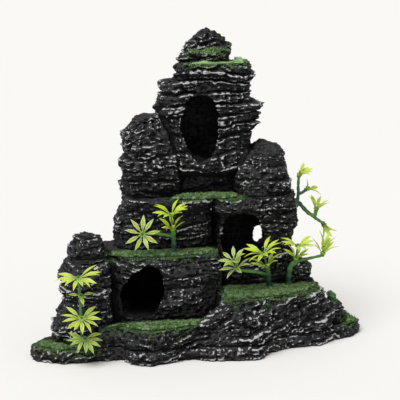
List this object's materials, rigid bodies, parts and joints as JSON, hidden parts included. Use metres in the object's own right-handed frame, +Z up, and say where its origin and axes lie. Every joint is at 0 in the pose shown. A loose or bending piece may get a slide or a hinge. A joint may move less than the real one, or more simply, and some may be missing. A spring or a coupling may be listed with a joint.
{
  "type": "aquarium cave ornament",
  "caption": "Layered resin rock mountain for an aquarium with swim-through caves, mossy ledges and plastic plants whose leaf sprays push onto pegs.",
  "frame": {"origin": "under the middle of the object's box, on the plane it stands on", "axes": "+X to the right along the width, +Y to the back, +Z up; the cave mouths face -Y"},
  "size_m": [0.2384, 0.1079, 0.2215],
  "materials": {
    "rock": "matt cast resin, painted near black, with pale grey dry brushing on the edges of its layers",
    "moss": "short green flock glued on the ledges",
    "stem": "dark bluish green moulded plastic, slightly waxy",
    "leaf": "soft moulded plastic, yellow green with paler edges"
  },
  "bodies": {
    "root": {"base_slab": "rock", "right_terrace": "rock", "front_step": "rock", "lower_cave_block": "rock", "left_buttress": "rock", "left_pinnacle": "rock", "middle_block": "rock", "right_cave_block": "rock", "right_rear_pillar": "rock", "cave_hood": "rock", "tower_block": "rock", "left_column": "rock", "right_column": "rock", "peak_cap": "rock", "rear_outcrop": "rock", "peak_moss": "moss", "upper_shelf_moss": "moss", "mid_ledge_moss": "moss", "lower_lawn_moss": "moss", "left_foot_moss": "moss", "right_terrace_moss": "moss", "rear_foot_moss": "moss", "outcrop_moss": "moss", "ledge_tree_stem": "stem", "terrace_tree_left_stem": "stem", "terrace_tree_right_stem": "stem", "wall_climber_stem": "stem", "column_hanger_stem": "stem", "ledge_tree_crown_lower": "leaf", "ledge_tree_crown_upper": "leaf", "ledge_tree_side": "leaf", "terrace_tree_left_crown_lower": "leaf", "terrace_tree_left_crown_upper": "leaf", "terrace_tree_left_low_under": "leaf", "terrace_tree_left_low_over": "leaf", "terrace_tree_right_crown_lower": "leaf", "terrace_tree_right_crown_upper": "leaf", "terrace_tree_right_side_lower": "leaf", "terrace_tree_right_side_upper": "leaf", "wall_climber_top": "leaf", "wall_climber_pair": "leaf", "wall_climber_middle": "leaf", "wall_climber_low": "leaf", "column_hanger_outer": "leaf", "column_hanger_top": "leaf", "column_hanger_inner": "leaf", "column_hanger_end": "leaf"}
  },
  "joints": []
}
